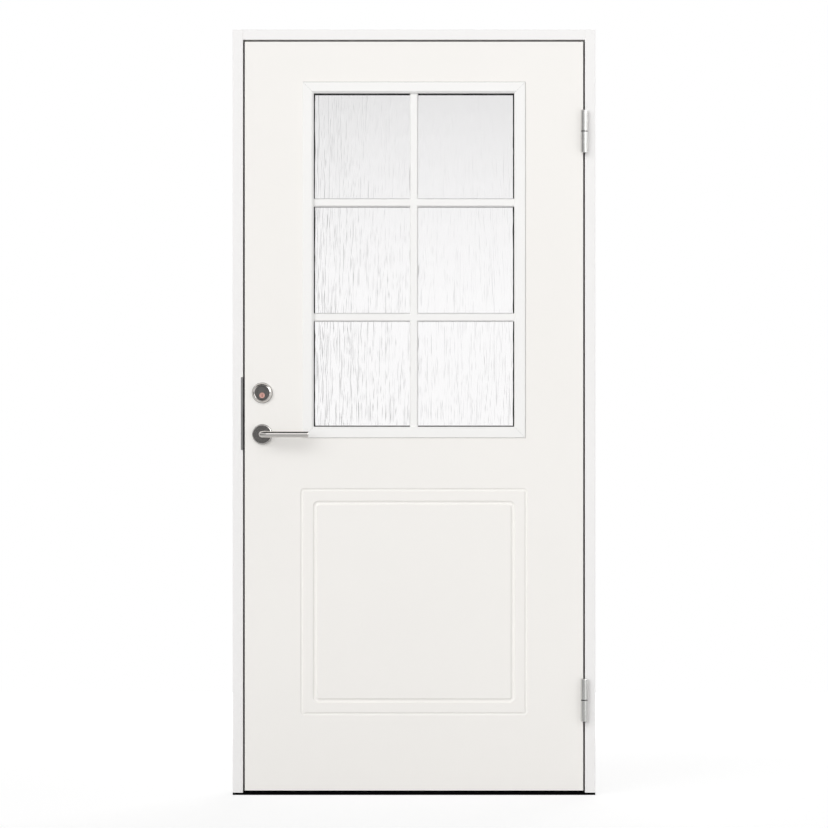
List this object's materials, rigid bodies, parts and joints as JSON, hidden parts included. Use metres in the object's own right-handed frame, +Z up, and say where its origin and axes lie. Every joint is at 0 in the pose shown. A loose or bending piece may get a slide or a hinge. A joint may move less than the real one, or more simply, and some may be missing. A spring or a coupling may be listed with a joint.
{
  "type": "exterior door",
  "caption": "White outward-opening exterior door in its frame, with a barred patterned-glass window over a routed square panel, lever handle, key cylinder and lift-off hinges.",
  "frame": {"origin": "middle of the frame's width and depth, on the underside of the threshold strip", "axes": "+X to the right seen from the street, towards the hinges; +Y into the house; +Z up"},
  "size_m": [0.99, 0.179, 2.09],
  "materials": {
    "leaf_paint": "warm white satin paint on routed board",
    "stile_paint": "white painted softwood edge",
    "insulation": "foam core, not seen",
    "frame_paint": "white satin paint on softwood",
    "threshold_black": "black anodised",
    "seal_rubber": "matt black sealing strip",
    "glazing_white": "white moulded plastic",
    "gasket_black": "matt black",
    "spacer_black": "matt black",
    "patterned_glass": "clear with vertical streaks in relief",
    "clear_glass": "clear float",
    "handle_steel": "fine brushed stainless",
    "plain_steel": "zinc plated",
    "hinge_steel": "zinc plated, satin",
    "cylinder_nickel": "matt nickel",
    "plug_brass": "worn nickel over brass"
  },
  "bodies": {
    "frame": {"lock_jamb": "frame_paint", "hinge_jamb": "frame_paint", "head_jamb": "frame_paint", "threshold_strip": "threshold_black", "threshold_upstand": "threshold_black", "lock_side_seal": "seal_rubber", "hinge_side_seal": "seal_rubber", "head_seal": "seal_rubber", "threshold_seal": "seal_rubber", "strike_plate": "plain_steel", "lower_hinge_frame_half": "hinge_steel", "upper_hinge_frame_half": "hinge_steel"},
    "leaf": {"bottom_rail": "stile_paint", "cylinder_ring": "handle_steel", "dead_bolt": "plain_steel", "glass_spacer": "spacer_black", "hinge_stile": "stile_paint", "inner_glass_gasket": "gasket_black", "inner_glazing_bars": "glazing_white", "inner_glazing_frame": "glazing_white", "inner_pane": "clear_glass", "inner_rose": "handle_steel", "inner_skin": "leaf_paint", "latch_bolt": "plain_steel", "leaf_core": "insulation", "lock_case": "plain_steel", "lock_cylinder": "cylinder_nickel", "lock_forend": "plain_steel", "lock_stile": "stile_paint", "lower_hinge_leaf_half": "hinge_steel", "outer_glass_gasket": "gasket_black", "outer_glazing_bars": "glazing_white", "outer_glazing_frame": "glazing_white", "outer_pane": "patterned_glass", "outer_rose": "handle_steel", "outer_skin": "leaf_paint", "thumb_turn": "handle_steel", "thumb_turn_rose": "handle_steel", "top_rail": "stile_paint", "upper_hinge_leaf_half": "hinge_steel"},
    "handle": {"outer_lever": "handle_steel", "inner_lever": "handle_steel", "lever_spindle": "plain_steel"},
    "key_plug": {"key_plug": "plug_brass"}
  },
  "joints": [
    {"name": "leaf_swing", "type": "hinge", "parent": "frame", "child": "leaf", "pos_m": [0.4645, -0.0635, 0.26], "axis": [0, 0, 1], "range_deg": [0, 110]},
    {"name": "lever_turn", "type": "hinge", "parent": "leaf", "child": "handle", "pos_m": [-0.4145, -0.0215, 0.985], "axis": [0, 1, 0], "range_deg": [0, 45], "stiffness_Nm_per_rad": 2, "springref_deg": -34.38},
    {"name": "key_turn", "type": "hinge", "parent": "leaf", "child": "key_plug", "pos_m": [-0.4145, -0.0505, 1.091], "axis": [0, 1, 0], "range_deg": [-90, 90]}
  ]
}
